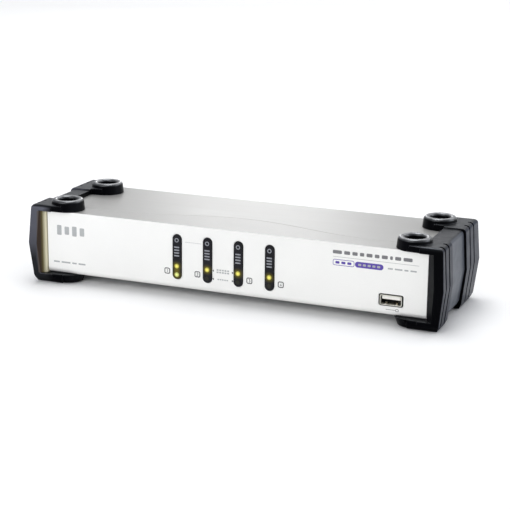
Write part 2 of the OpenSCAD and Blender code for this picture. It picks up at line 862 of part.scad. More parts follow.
module audio_jack(z, z0, z1) {
    difference() {
        union() {
            block([audio_x - audio_w / 2, audio_x + audio_w / 2], [rear_wall_y - 12, rear_wall_y],
                [z0, z1]);
            rod_y(audio_x, z, audio_collar_r, rear_wall_y - 0.5, rear_y + 1.4);
        }
        rod_y(audio_x, z, audio_bore, rear_y - 12, rear_y + 2);
    }
}

module speaker_jack() {
    color("palegreen") audio_jack(audio_zs[0], main_top, audio_split_z);
}

module microphone_jack() {
    color("pink") audio_jack(audio_zs[1], audio_split_z, audio_top);
}

module service_jack() {
    x = service_x;
    w = service_w / 2;
    color([0.1, 0.1, 0.1]) difference() {
        block([x - w, x + w], [rear_y - 16, rear_y + 0.6], [main_top, main_top + service_h]);
        block([x - 3.4, x + 3.4], [rear_y - 12, rear_y + 1], [main_top + 2.2, main_top + 9]);
        block([x - 1.6, x + 1.6], [rear_y - 12, rear_y + 1], [main_top + 1, main_top + 3]);
    }
}

module service_switch_body() {
    color([0.1, 0.1, 0.1]) difference() {
        block([switch_x - 4.4, switch_x + 4.4], [rear_wall_y - 4.6, rear_wall_y],
            [main_top, main_top + 5.2]);
        block([switch_x - 2.6, switch_x + 2.6], [rear_wall_y - 2.6, rear_wall_y + 1],
            [switch_z - switch_slot[1] / 2, switch_z + switch_slot[1] / 2]);
    }
}

module service_switch_slider() {
    x = switch_x - slider_travel / 2;
    color("white") block([x - 1.4, x + 1.4], [rear_wall_y - 2.3, rear_y + 1.2],
        [switch_z - 0.95, switch_z + 0.95]);
}

module dc_jack_body() {
    color([0.1, 0.1, 0.1]) difference() {
        union() {
            block([dc_x - dc_w / 2, dc_x + dc_w / 2], [rear_wall_y - 13, rear_wall_y],
                [main_top, main_top + dc_h]);
            rod_y(dc_x, dc_z, dc_collar_r, rear_wall_y - 0.5, rear_y + 0.4);
        }
        rod_y(dc_x, dc_z, dc_bore, rear_wall_y - 10, rear_y + 1);
    }
}

module dc_jack_pin() {
    color("silver") rod_y(dc_x, dc_z, dc_pin_r, rear_wall_y - 10, rear_y - 0.6);
}

module ground_screw() {
    color("silver") {
        rod_y(ground_at[0], ground_at[1], 3.4, rear_y, rear_y + 0.6);
        difference() {
            rod_y(ground_at[0], ground_at[1], 2.7, rear_y + 0.5, rear_y + 2.6);
            for (w = [[2, 0.35], [0.35, 2]]) block([ground_at[0] - w[0], ground_at[0] + w[0]],
                [rear_y + 1.4, rear_y + 3], [ground_at[1] - w[1], ground_at[1] + w[1]]);
        }
        rod_y(ground_at[0], ground_at[1], sheet_hole_r, rear_y - 5, rear_y + 1);
    }
}

base_chassis();
top_cover();
front_bezel();
left_end_bracket();
right_end_bracket();
foot_pads();
bracket_screws();
bezel_screws();
cover_screws();
main_board();
front_board();
standoffs();
main_board_screws();
front_board_screws();
switch_bodies();
led_emitters();
front_usb_shell();
front_usb_insert();
console_video_shell();
console_video_insert();
jack_nuts();
console_usb_shell();
console_usb_insert();
ps2_shield();
ps2_keyboard_insert();
ps2_mouse_insert();
speaker_jack();
microphone_jack();
service_jack();
service_switch_body();
service_switch_slider();
computer_port_shells();
computer_port_inserts();
dc_jack_body();
dc_jack_pin();
ground_screw();
main_controller();
switch_chips();
power_capacitors();
crystals();
buzzer();
ribbon_headers();
ribbon_cable();
port_button(0);  // port_button_1
port_button(1);  // port_button_2
port_button(2);  // port_button_3
port_button(3);  // port_button_4
light_pipes(0);  // light_pipes_1
light_pipes(1);  // light_pipes_2
light_pipes(2);  // light_pipes_3
light_pipes(3);  // light_pipes_4
switch_plunger(0);  // switch_plunger_1
switch_plunger(1);  // switch_plunger_2
switch_plunger(2);  // switch_plunger_3
switch_plunger(3);  // switch_plunger_4
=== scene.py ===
import json
import math

import bmesh
import bpy
from mathutils import Matrix, Vector

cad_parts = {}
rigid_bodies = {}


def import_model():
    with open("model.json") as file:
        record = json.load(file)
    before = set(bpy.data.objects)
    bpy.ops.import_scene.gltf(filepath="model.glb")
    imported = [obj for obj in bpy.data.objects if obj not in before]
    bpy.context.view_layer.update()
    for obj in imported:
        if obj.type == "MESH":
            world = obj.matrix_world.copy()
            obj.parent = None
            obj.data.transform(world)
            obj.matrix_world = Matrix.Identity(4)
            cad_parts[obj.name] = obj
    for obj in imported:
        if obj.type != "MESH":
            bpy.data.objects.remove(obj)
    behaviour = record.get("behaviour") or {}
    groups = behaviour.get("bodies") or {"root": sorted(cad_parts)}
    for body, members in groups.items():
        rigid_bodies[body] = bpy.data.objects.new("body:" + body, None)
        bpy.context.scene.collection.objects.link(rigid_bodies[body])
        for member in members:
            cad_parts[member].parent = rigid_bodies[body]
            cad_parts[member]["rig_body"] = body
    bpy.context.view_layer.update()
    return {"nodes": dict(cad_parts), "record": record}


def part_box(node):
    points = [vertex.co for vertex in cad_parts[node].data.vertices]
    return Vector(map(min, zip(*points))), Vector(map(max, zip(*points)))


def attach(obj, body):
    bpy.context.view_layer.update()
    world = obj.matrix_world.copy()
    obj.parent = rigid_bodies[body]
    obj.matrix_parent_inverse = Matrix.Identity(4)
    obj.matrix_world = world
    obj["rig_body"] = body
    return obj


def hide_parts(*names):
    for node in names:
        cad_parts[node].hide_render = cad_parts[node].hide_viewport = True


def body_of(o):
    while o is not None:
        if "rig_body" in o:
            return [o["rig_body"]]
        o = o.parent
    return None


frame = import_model()
MM = 0.001
NODES = frame["nodes"]


def span(node):
    """A CAD node's lowest and highest corner, in millimetres."""
    low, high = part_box(node)
    return Vector(low) / MM, Vector(high) / MM


def centre(node):
    low, high = span(node)
    return (low + high) / 2


# ---------------------------------------------------------------- camera

# The viewing direction and distance were solved from the edges of the case.
AZIMUTH, ELEVATION, ROLL = 22.08, 15.32, 0.63
LENS, SENSOR = 105.5, 36
CAMERA_PLACE = Vector((0.3433, -0.8419, 0.2709))


def make_camera():
    a, e, roll = (math.radians(angle) for angle in (AZIMUTH, ELEVATION, ROLL))
    back = Vector((math.sin(a) * math.cos(e), -math.cos(a) * math.cos(e), math.sin(e)))
    level = (-back).cross(Vector((0, 0, 1))).normalized()
    upright = level.cross(-back)
    right = level * math.cos(roll) + upright * math.sin(roll)
    up = upright * math.cos(roll) - level * math.sin(roll)
    data = bpy.data.cameras.new("camera")
    data.lens, data.sensor_width = LENS, SENSOR
    data.clip_start, data.clip_end = 0.01, 50
    camera = bpy.data.objects.new("camera", data)
    bpy.context.scene.collection.objects.link(camera)
    columns = zip(right, up, back, CAMERA_PLACE)
    camera.matrix_world = Matrix([tuple(row) for row in columns] + [(0, 0, 0, 1)])
    bpy.context.scene.camera = camera


# ---------------------------------------------------------------- floor and lights

WHITE, COOL, COOLER = (1, 1, 1), (0.93, 0.95, 1), (0.88, 0.90, 1)
SKY_STRENGTH, GAMMA = 0.40, 0.93
# Name, place, aim, size, power in watts and colour of each area light.
LIGHTS = (
    ("top_softbox", (-0.10, 0.12, 1.15), (0, 0, 0), (0.6, 0.5), 5.1, WHITE),
    ("front_softbox", (-0.35, -1.5, 0.8), (0, 0, 0.03), (1.4, 0.9), 10.6, WHITE),
    ("left_front_card", (-0.32, -0.56, 0.11), (-0.13, -0.04, 0.03), (0.12, 0.16), 0.42, COOLER),
    ("right_softbox", (1.3, 0.35, 0.5), (0.13, 0, 0.03), (0.9, 0.7), 5, COOL),
    ("back_glow", (-0.58, 1.45, 0.46), (0, 0, 0.04), (0.32, 0.4), 1.1, WHITE),
    ("floor_wash", (-0.3, 1.95, 1.7), (-0.3, 1.95, 0), (3.8, 2.4), 37, WHITE),
)
# The floor, in metres: a flat sheet that turns up in a quarter circle behind the object.
FLOOR_HALF_WIDTH, FLOOR_FRONT, FLOOR_TURN, FLOOR_TOP = 5.0, -3.0, 3.2, 4.0
TURN_RADIUS, TURN_STEPS = 1.2, 12


def area_light(name, place, aim, size, power, colour):
    data = bpy.data.lights.new(name, "AREA")
    data.shape = "RECTANGLE"
    data.size, data.size_y = size
    data.energy = power
    data.color = colour
    light = bpy.data.objects.new(name, data)
    bpy.context.scene.collection.objects.link(light)
    light.location = place
    light.rotation_mode = "QUATERNION"
    light.rotation_quaternion = (Vector(aim) - Vector(place)).to_track_quat("-Z", "Y")


def make_sky():
    world = bpy.data.worlds.new("studio")
    bpy.context.scene.world = world
    world.use_nodes = True
    nodes, links = world.node_tree.nodes, world.node_tree.links
    nodes.clear()
    out = nodes.new("ShaderNodeOutputWorld")
    sky = nodes.new("ShaderNodeBackground")
    sky.inputs["Color"].default_value = (*COOL, 1)
    sky.inputs["Strength"].default_value = SKY_STRENGTH
    links.new(sky.outputs[0], out.inputs["Surface"])


def make_floor():
    profile = [(FLOOR_FRONT, 0.0), (FLOOR_TURN, 0.0)]
    for step in range(1, TURN_STEPS + 1):
        t = math.pi / 2 * step / TURN_STEPS
        profile.append((FLOOR_TURN + TURN_RADIUS * math.sin(t),
                        TURN_RADIUS - TURN_RADIUS * math.cos(t)))
    profile.append((FLOOR_TURN + TURN_RADIUS, FLOOR_TOP))
    bm = bmesh.new()
    rows = [[bm.verts.new((x, y, z)) for x in (-FLOOR_HALF_WIDTH, FLOOR_HALF_WIDTH)]
            for y, z in profile]
    for a, b in zip(rows, rows[1:]):
        bm.faces.new((a[0], a[1], b[1], b[0]))
    mesh = mesh_from(bm, "floor")
    mesh.shade_smooth()
    floor = bpy.data.objects.new("floor", mesh)
    bpy.context.scene.collection.objects.link(floor)
    dress(floor, surface("floor_paper", (0.95, 0.95, 0.945), 0.85, spread=0.012, patch=3,
                         grain=600, bump=0.02))


def make_stage():
    view = bpy.context.scene.view_settings
    view.view_transform, view.exposure, view.gamma = "Standard", 0, GAMMA
    make_sky()
    make_floor()
    for light in LIGHTS:
        area_light(*light)


# ---------------------------------------------------------------- meshes and pieces

def mesh_from(bm, name):
    mesh = bpy.data.meshes.new(name)
    bm.to_mesh(mesh)
    bm.free()
    return mesh


def dress(piece, material):
    piece.data.materials.clear()
    piece.data.materials.append(material)


def add_piece(name, mesh, material, body="case"):
    piece = bpy.data.objects.new(name, mesh)
    bpy.context.scene.collection.objects.link(piece)
    dress(piece, material)
    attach(piece, body)
    return piece


# ---------------------------------------------------------------- shader wrapper

class Shader:
    """A small wrapper that adds nodes to one Principled material."""

    def __init__(self, name):
        self.material = bpy.data.materials.new(name)
        self.material.use_nodes = True
        self.tree = self.material.node_tree
        self.bsdf = self.tree.nodes["Principled BSDF"]
        self.coords = self.add("ShaderNodeTexCoord").outputs["Object"]

    def add(self, kind, **values):
        node = self.tree.nodes.new(kind)
        for key, value in values.items():
            setattr(node, key, value)
        return node

    def plug(self, value, socket):
        """Links an output to a socket, or sets the socket to a number or a colour."""
        if isinstance(value, bpy.types.NodeSocket):
            self.tree.links.new(value, socket)
        elif isinstance(value, tuple):
            socket.default_value = (*value, 1)
        else:
            socket.default_value = value

    def feed(self, **values):
        """Plugs values into the material's own inputs, such as Base_Color."""
        for key, value in values.items():
            self.plug(value, self.bsdf.inputs[key.replace("_", " ")])

    def noise(self, scale, detail=3.0, rough=0.55, stretch=(1, 1, 1)):
        """Fractal noise between about 0 and 1; scale is in cycles per metre."""
        mapping = self.add("ShaderNodeMapping")
        mapping.inputs["Scale"].default_value = stretch
        self.plug(self.coords, mapping.inputs["Vector"])
        node = self.add("ShaderNodeTexNoise")
        self.plug(scale, node.inputs["Scale"])
        self.plug(detail, node.inputs["Detail"])
        self.plug(rough, node.inputs["Roughness"])
        self.plug(mapping.outputs[0], node.inputs["Vector"])
        return node.outputs["Fac"]

    def remap(self, value, low, high, to_low=0, to_high=1):
        """Carries the range low..high to to_low..to_high, and holds it outside that."""
        node = self.add("ShaderNodeMapRange")
        for key, number in zip(("Value", "From Min", "From Max", "To Min", "To Max"),
                               (value, low, high, to_low, to_high)):
            self.plug(number, node.inputs[key])
        return node.outputs[0]

    def spread(self, noise, to_low=0, to_high=1):
        """The useful middle of a noise, carried to to_low..to_high."""
        return self.remap(noise, 0.3, 0.7, to_low, to_high)

    def mix(self, factor, a, b):
        node = self.add("ShaderNodeMix", data_type="RGBA")
        for value, socket in ((factor, 0), (a, 6), (b, 7)):
            self.plug(value, node.inputs[socket])
        return node.outputs[2]

    def math(self, operation, a, b=0):
        node = self.add("ShaderNodeMath", operation=operation)
        self.plug(a, node.inputs[0])
        self.plug(b, node.inputs[1])
        return node.outputs[0]

    def product(self, first, *others):
        for other in others:
            first = self.math("MULTIPLY", first, other)
        return first

    def part_of(self, vector, axis):
        node = self.add("ShaderNodeSeparateXYZ")
        self.plug(vector, node.inputs[0])
        return node.outputs[axis]

    def axis(self, name):
        """The place on the piece along X, Y or Z, in metres."""
        return self.part_of(self.coords, name)

    def facing(self, name):
        """How far the surface turns towards X, Y or Z, from -1 to 1."""
        return self.part_of(self.add("ShaderNodeTexCoord").outputs["Normal"], name)

    def distance(self, x, z):
        """How far a place is from a point in the X and Z plane, in metres."""
        dx = self.math("SUBTRACT", self.axis("X"), x)
        dz = self.math("SUBTRACT", self.axis("Z"), z)
        return self.math("SQRT", self.math("ADD", self.product(dx, dx), self.product(dz, dz)))

    def edges(self, radius, gain=6.0):
        """0 on flat parts, rising to 1 at the edges."""
        bevel = self.add("ShaderNodeBevel")
        self.plug(radius, bevel.inputs["Radius"])
        geometry = self.add("ShaderNodeNewGeometry")
        dot = self.add("ShaderNodeVectorMath", operation="DOT_PRODUCT")
        self.plug(bevel.outputs[0], dot.inputs[0])
        self.plug(geometry.outputs["Normal"], dot.inputs[1])
        return self.remap(dot.outputs["Value"], 1, 1 - 1 / gain)

    def bump(self, height, strength, distance):
        node = self.add("ShaderNodeBump")
        self.plug(strength, node.inputs["Strength"])
        self.plug(distance, node.inputs["Distance"])
        self.plug(height, node.inputs["Height"])
        self.feed(Normal=node.outputs[0])


def tint(colour, factor):
    return tuple(min(1, c * factor) for c in colour)


def surface(name, colour, rough, metal=0.0, spread=0.06, patch=30, grain=2500, bump=0.1,
            depth=0.00004, stretch=(1, 1, 1), worn=None, coat=0.0, specular=0.5):
    """A finish with blotches of colour, uneven gloss, a fine grain and, if asked, worn edges."""
    s = Shader(name)
    blotch = s.noise(patch, stretch=stretch)
    fine = s.noise(grain, 2, stretch=stretch)
    shade = s.mix(s.spread(blotch), tint(colour, 1 - spread), tint(colour, 1 + spread))
    shade = s.mix(s.remap(fine, 0.35, 0.75, 0, 0.35), shade, tint(colour, 1 + 2 * spread))
    gloss = s.spread(s.noise(patch * 7), rough - 0.06, rough + 0.06)
    if worn:
        edge = s.product(s.edges(0.0004), s.remap(s.noise(900), 0.4, 0.65, 0.1, 1))
        shade = s.mix(s.product(edge, 0.55), shade, worn)
        gloss = s.math("SUBTRACT", gloss, s.product(edge, 0.08))
    s.bump(fine, bump, depth)
    s.feed(Base_Color=shade, Roughness=gloss, Metallic=metal, IOR=1.5, Coat_Weight=coat,
           Coat_Roughness=0.08, Specular_IOR_Level=specular)
    return s.material


# ---------------------------------------------------------------- finishes of the case

COVER_GREY = (0.40, 0.397, 0.386)
BEZEL_WHITE, BEZEL_FLAKE = (0.845, 0.842, 0.815), (0.95, 0.95, 0.93)
BEZEL_DIRT, COVER_WEAR = (0.55, 0.56, 0.56), (0.75, 0.75, 0.74)


def bezel_finish():
    """Satin silver-white lacquer with a fine flake and a trace of dirt at the edges."""
    s = Shader("bezel_lacquer")
    blotch = s.spread(s.noise(18, 4))
    flake = s.noise(5200, 1, 0.4)
    shade = s.mix(blotch, tint(BEZEL_WHITE, 0.975), tint(BEZEL_WHITE, 1.015))
    shade = s.mix(s.remap(flake, 0.55, 0.8, 0, 0.5), shade, BEZEL_FLAKE)
    shade = s.mix(s.product(s.edges(0.0009, 4), 0.12), shade, BEZEL_DIRT)
    # Faces of the bezel that point upward take the grey of the cover in place of the white.
    top = s.remap(s.facing("Z"), 0.85, 0.97)
    shade = s.mix(top, shade, s.mix(blotch, tint(COVER_GREY, 0.96), tint(COVER_GREY, 1.06)))
    s.bump(flake, 0.10, 0.00003)
    s.feed(Base_Color=shade,
           Roughness=s.math("ADD", s.spread(flake, 0.30, 0.42), s.product(top, 0.03)),
           Metallic=s.remap(top, 0, 1, 0.12, 0.35),
           Coat_Weight=s.remap(top, 0, 1, 0.25, 0), Coat_Roughness=0.12)
    return s.material


def cover_finish():
    """Grey-silver paint on steel: fine stipple, faint rolling marks across the width."""
    s = Shader("cover_paint")
    blotch = s.spread(s.noise(14, 4))
    pull = s.noise(260, 4, 0.6, stretch=(0.05, 1, 1))
    stipple = s.noise(3400, 2, 0.6)
    shade = s.mix(blotch, tint(COVER_GREY, 0.96), tint(COVER_GREY, 1.04))
    shade = s.mix(s.remap(pull, 0.35, 0.7, 0, 0.3), shade, tint(COVER_GREY, 1.12))
    shade = s.mix(s.product(s.edges(0.0005), 0.35), shade, COVER_WEAR)
    s.bump(stipple, 0.12, 0.00004)
    s.feed(Base_Color=shade, Roughness=s.spread(pull, 0.34, 0.42), Metallic=0.35)
    return s.material


# Colours of the end brackets. The blue of the sides and the greys of the sunken panels and the
# left front are painted sheen; the three colours of the slope beside the panel are a painted
# reflection.
PLASTIC_BLACK, SIDE_SHEEN_BLUE = (0.0018, 0.0018, 0.0026), (0.011, 0.015, 0.028)
SCUFF_GREY, EDGE_GREY = (0.014, 0.014, 0.016), (0.10, 0.10, 0.105)
PANEL_SHEEN_GREY, FRONT_SHEEN_GREY = (0.100, 0.110, 0.130), (0.050, 0.048, 0.062)
REFLECTED_BROWN, REFLECTED_OLIVE, REFLECTED_CREAM = ((0.050, 0.034, 0.024), (0.15, 0.125, 0.050),
                                         (0.72, 0.68, 0.50))
# Places on them, in metres: the outer skin starts at SKIN_X, the sunken panel is
# 2 * PANEL_HALF deep about PANEL_Y, and the left bracket lies beyond LEFT_X.
SKIN_X, PANEL_X, PANEL_Y, PANEL_HALF = 0.126, 0.131, -0.00675, 0.0154
LEFT_X = (-0.126, -0.120)
SLOPE_WIDE, RIM_HIGH = 0.0052, 0.0009


def painted_slope_reflection(s):
    """Colour and mask of the painted reflection on the slope beside the panel's left end; it
    fades in towards the panel.

    The slope at the rear stays black.
    """
    bezel_low, bezel_high = (corner * MM for corner in span("front_bezel"))
    fade = 0.0002
    slope = s.remap(s.axis("X"), bezel_low.x - 0.0001 - SLOPE_WIDE, bezel_low.x - 0.0001)
    brown = s.mix(s.remap(slope, 0.35, 0.62), REFLECTED_BROWN, REFLECTED_OLIVE)
    colour = s.mix(s.remap(slope, 0.55, 0.85), brown, REFLECTED_CREAM)
    mask = s.product(
        s.remap(slope, 0.01, 0.03), s.remap(slope, 0.97, 0.99, 1, 0),
        s.remap(s.axis("Z"), bezel_low.z + fade / 2, bezel_low.z + fade * 1.5),
        s.remap(s.axis("Z"), bezel_high.z - fade * 1.5, bezel_high.z - fade / 2, 1, 0),
        s.remap(s.axis("Y"), -0.001, 0.001, 1, 0))
    return colour, mask


def bracket_finish():
    """Black moulded plastic: spark-eroded grain on the sides, glossier stacking rims, painted
    sheen on the sides and the left front, and a painted reflection on the slope beside the
    panel.
    """
    s = Shader("bracket_plastic")
    blotch = s.spread(s.noise(25, 4))
    shade = s.mix(blotch, tint(PLASTIC_BLACK, 0.85), tint(PLASTIC_BLACK, 1.25))
    # The outer sides are painted a shade bluer and lighter than the rest: painted sheen,
    # standing in for the cool light they reflect from the right.
    outer = s.math("ABSOLUTE", s.axis("X"))
    outward = s.product(s.facing("X"), s.math("SIGN", s.axis("X")))
    side_sheen_mask = s.product(s.remap(outward, 0.5, 0.8),
                      s.remap(outer, SKIN_X - 0.0005, SKIN_X + 0.0005))
    shade = s.mix(side_sheen_mask, shade, s.mix(blotch, tint(SIDE_SHEEN_BLUE, 0.85), tint(SIDE_SHEEN_BLUE, 1.25)))
    scuffs = s.remap(s.noise(700, 5, 0.7, stretch=(0.3, 0.3, 2)), 0.66, 0.78, 0, 0.35)
    shade = s.mix(scuffs, shade, SCUFF_GREY)
    edge = s.product(s.edges(0.0005), s.remap(s.noise(500), 0.35, 0.65, 0.15, 1))
    shade = s.mix(s.product(edge, 0.4), shade, EDGE_GREY)
    # The sunken middle panel of each side is painted lighter: painted sheen, standing in for the
    # light it reflects from the right.
    along = s.math("ABSOLUTE", s.math("SUBTRACT", s.axis("Y"), PANEL_Y))
    middle = s.product(s.remap(along, PANEL_HALF - 0.0002, PANEL_HALF + 0.0002, 1, 0),
                       s.remap(outer, PANEL_X - 0.0005, PANEL_X + 0.0005), side_sheen_mask)
    shade = s.mix(middle, shade, PANEL_SHEEN_GREY)
    # The front of the left bracket is painted lighter above its waist: painted sheen, standing
    # in for the light it catches from the front left.
    left = s.remap(s.axis("X"), *LEFT_X, 1, 0)
    front_sheen = s.product(s.remap(s.facing("Y"), -0.95, -0.75, 1, 0), left,
                        s.remap(s.facing("Z"), -0.10, 0.03))
    shade = s.mix(front_sheen, shade, FRONT_SHEEN_GREY)
    # Painted reflection: a brown to cream tint on the left bracket's slope beside the panel,
    # standing in for the warm light that slope reflects.
    slope_reflection, reflection_mask = painted_slope_reflection(s)
    shade = s.mix(reflection_mask, shade, slope_reflection)
    # Upward faces are satin and the sides duller. Of the faces to front and rear, the left
    # bracket's catch the light and the right bracket's stay dead black.
    ring_top = span("right_end_bracket")[1].z * MM
    polish = s.remap(s.axis("Z"), ring_top - 0.0007 - RIM_HIGH, ring_top - 0.0007)
    upward = s.remap(s.math("ABSOLUTE", s.facing("Z")), 0.5, 0.95, 0.13, 0.66)
    ends = s.remap(s.math("ABSOLUTE", s.facing("Y")), 0.75, 0.95)
    dull = s.product(ends, s.remap(s.axis("X"), *LEFT_X, 0, 0.8))
    caught = s.product(ends, s.remap(s.facing("Z"), -0.11, 0.03, 0.13, 0.56), left)
    sheen = s.math("ADD", s.product(upward, s.math("SUBTRACT", 1.0, dull)), caught)
    matt = s.spread(s.noise(160), 0.30, 0.40)
    s.bump(s.noise(2600, 3, 0.6), 0.16, 0.00006)
    s.feed(Base_Color=shade,
           Roughness=s.math("SUBTRACT", matt, s.product(polish, 0.08)),
           Specular_IOR_Level=s.math("ADD", sheen, s.product(polish, 0.5)),
           Specular_Tint=(0.84, 0.90, 1),
           Coat_Weight=polish, Coat_Roughness=0.34, Coat_IOR=1.9)
    return s.material


# ---------------------------------------------------------------- finishes of the small parts

LOWER_LAMP_LIT = 1  # the number of the one button whose lower lamp is lit as well
LAMP_CORE, LAMP_HALO = 0.0014, 0.0042  # radius of a lamp and of the light that leaks from it
AMBER = ((1.0, 0.78, 0.01), (1.0, 0.90, 0.03))


def lamp_places(number):
    """The middles of a button's lower and upper lamp, in metres."""
    low, high = span("light_pipes_%d" % number)
    x, r = (low.x + high.x) / 2, (high.x - low.x) / 2
    return Vector((x, low.y, low.z + r)) * MM, Vector((x, low.y, high.z - r)) * MM


def button_finish(number):
    """Gloss black, with the raised bars and ring printed light grey."""
    s = Shader("button_%d" % number)
    front = span("port_button_%d" % number)[0].y * MM
    fine = s.noise(1800, 3)
    black = s.mix(s.spread(s.noise(120)), (0.010, 0.010, 0.012), (0.018, 0.018, 0.022))
    raised = s.remap(s.axis("Y"), front + 0.00012, front + 0.00018, 1, 0)
    printed = s.mix(fine, (0.22, 0.23, 0.25), (0.36, 0.37, 0.40))
    # Light leaks from the lit lamps into the plastic round them.
    low, high = lamp_places(number)
    glow = s.remap(s.distance(low.x, high.z), LAMP_CORE, LAMP_HALO, 1, 0)
    if number == LOWER_LAMP_LIT:
        lower = s.remap(s.distance(low.x, low.z), LAMP_CORE, LAMP_HALO, 1, 0)
        glow = s.math("ADD", glow, lower)
    s.bump(fine, 0.06, 0.00002)
    s.feed(Base_Color=s.mix(raised, black, printed),
           Emission_Color=s.mix(fine, *AMBER),
           Emission_Strength=s.product(glow, glow, 0.13),
           Roughness=s.math("ADD", s.spread(fine, 0.14, 0.22), s.product(raised, 0.3)),
           Specular_IOR_Level=0.14)
    return s.material


def lens_finish(number):
    """Clear light pipe: the lit one glows from the middle, the unlit one is smoked."""
    s = Shader("light_pipe_%d" % number)
    low, high = lamp_places(number)
    middle = (low.z + high.z) / 2
    upper = s.remap(s.axis("Z"), middle - 0.0002, middle + 0.0002)
    fine = s.noise(1500, 3)
    amber = s.mix(fine, (1.0, 0.86, 0.12), (1.0, 0.94, 0.24))
    if number == LOWER_LAMP_LIT:
        lower = s.mix(fine, (0.88, 0.94, 0.24), (0.94, 1.0, 0.40))
        lit = s.remap(upper, 0, 1, 0.95)
    else:
        lower = s.mix(fine, (0.010, 0.010, 0.011), (0.022, 0.022, 0.022))
        lit = upper
    colour = s.mix(upper, lower, amber)
    # Brightest round the axis of each pipe.
    radius = s.math("MINIMUM", s.distance(low.x, low.z), s.distance(low.x, high.z))
    glow = s.remap(radius, 0.0002, LAMP_CORE, 0.80, 0.22)
    s.bump(fine, 0.04, 0.00002)
    s.feed(Base_Color=s.mix(0.72, colour, (0.02, 0.02, 0.01)), Emission_Color=colour,
           Emission_Strength=s.product(glow, lit), Roughness=s.spread(fine, 0.10, 0.20),
           Specular_IOR_Level=0.3)
    return s.material


def board_finish():
    """Green solder mask over copper tracks, with a scatter of tinned pads."""
    s = Shader("circuit_board")
    cells = s.add("ShaderNodeTexVoronoi", feature="DISTANCE_TO_EDGE", distance="MANHATTAN")
    dots = s.add("ShaderNodeTexVoronoi", feature="F1")
    for pattern, scale in ((cells, 380), (dots, 260)):
        s.plug(scale, pattern.inputs["Scale"])
        s.plug(s.coords, pattern.inputs["Vector"])
    track = s.remap(cells.outputs["Distance"], 0.03, 0.07, 1, 0)
    pad = s.remap(dots.outputs["Distance"], 0.10, 0.14, 1, 0)
    mask = s.mix(s.noise(60), (0.010, 0.085, 0.030), (0.018, 0.13, 0.048))
    shade = s.mix(track, mask, (0.035, 0.20, 0.075))
    shade = s.mix(pad, shade, (0.55, 0.55, 0.52))
    s.bump(s.math("ADD", track, pad), 0.3, 0.00004)
    s.feed(Base_Color=shade, Roughness=s.spread(s.noise(300), 0.22, 0.34), Coat_Weight=0.4,
           Coat_Roughness=0.1)
    return s.material


def ribbon_finish():
    """Grey ribbon cable: one rounded ridge for each wire, the first one red, with painted shade
    in the grooves between the wires.
    """
    s = Shader("ribbon_sleeve")
    low = span("ribbon_cable")[0].x * MM
    wire_pitch = 0.00127
    across = s.math("DIVIDE", s.math("SUBTRACT", s.axis("X"), low), wire_pitch)
    ridge = s.math("ABSOLUTE", s.math("SINE", s.product(across, math.pi)))
    grey = s.mix(s.noise(400), (0.36, 0.37, 0.38), (0.46, 0.47, 0.48))
    # Painted shade: the grooves between the wires are darker.
    shade = s.mix(s.remap(ridge, 0, 0.5, 0.5, 0), grey, (0.16, 0.16, 0.17))
    shade = s.mix(s.remap(across, 0.95, 1.05, 1, 0), shade, (0.55, 0.03, 0.03))
    s.bump(ridge, 0.5, 0.0003)
    s.feed(Base_Color=shade, Roughness=s.spread(s.noise(500), 0.4, 0.5))
    return s.material


def front_shell_finish():
    """Stamped steel, bright at the mouth, with painted shade that darkens it further in."""
    s = Shader("front_shell")
    mouth = span("front_usb_shell")[0].y * MM
    grain = s.noise(1600, 2, stretch=(0.3, 1, 1))
    bright = s.mix(grain, (0.72, 0.71, 0.63), (0.86, 0.85, 0.76))
    # Painted shade: the steel darkens to near black deeper inside the socket.
    inside_shade = s.remap(s.axis("Y"), mouth + 0.0016, mouth + 0.0034)
    s.bump(grain, 0.05, 0.00002)
    s.feed(Base_Color=s.mix(inside_shade, bright, (0.02, 0.02, 0.018)),
           Roughness=s.spread(grain, 0.30, 0.40), Metallic=0.6)
    return s.material


def capacitor_finish():
    """Blue shrunk sleeve and a bare aluminium top."""
    s = Shader("capacitor_sleeve")
    top = span("power_capacitors")[1].z * MM
    sleeve = s.mix(s.noise(200), (0.012, 0.03, 0.10), (0.02, 0.05, 0.16))
    bare = s.remap(s.axis("Z"), top - 0.0001, top - 0.00005)
    alloy = s.mix(s.noise(900), (0.62, 0.62, 0.62), (0.78, 0.78, 0.78))
    s.bump(s.noise(1200), 0.08, 0.00003)
    s.feed(Base_Color=s.mix(bare, sleeve, alloy), Roughness=s.spread(s.noise(300), 0.22, 0.36),
           Metallic=bare)
    return s.material


MOULD = dict(spread=0.08, patch=60, grain=2200, bump=0.12, depth=0.00004)
PLATED = dict(metal=1.0, spread=0.05, patch=45, grain=1600, bump=0.05, depth=0.00002)
# Material slots that have a finish of their own.
SPECIAL = {
    "bezel_silver": bezel_finish,
    "cover_paint": cover_finish,
    "bracket_plastic": bracket_finish,
    "board_green": board_finish,
    "ribbon_grey": ribbon_finish,
    "capacitor_sleeve": capacitor_finish,
}
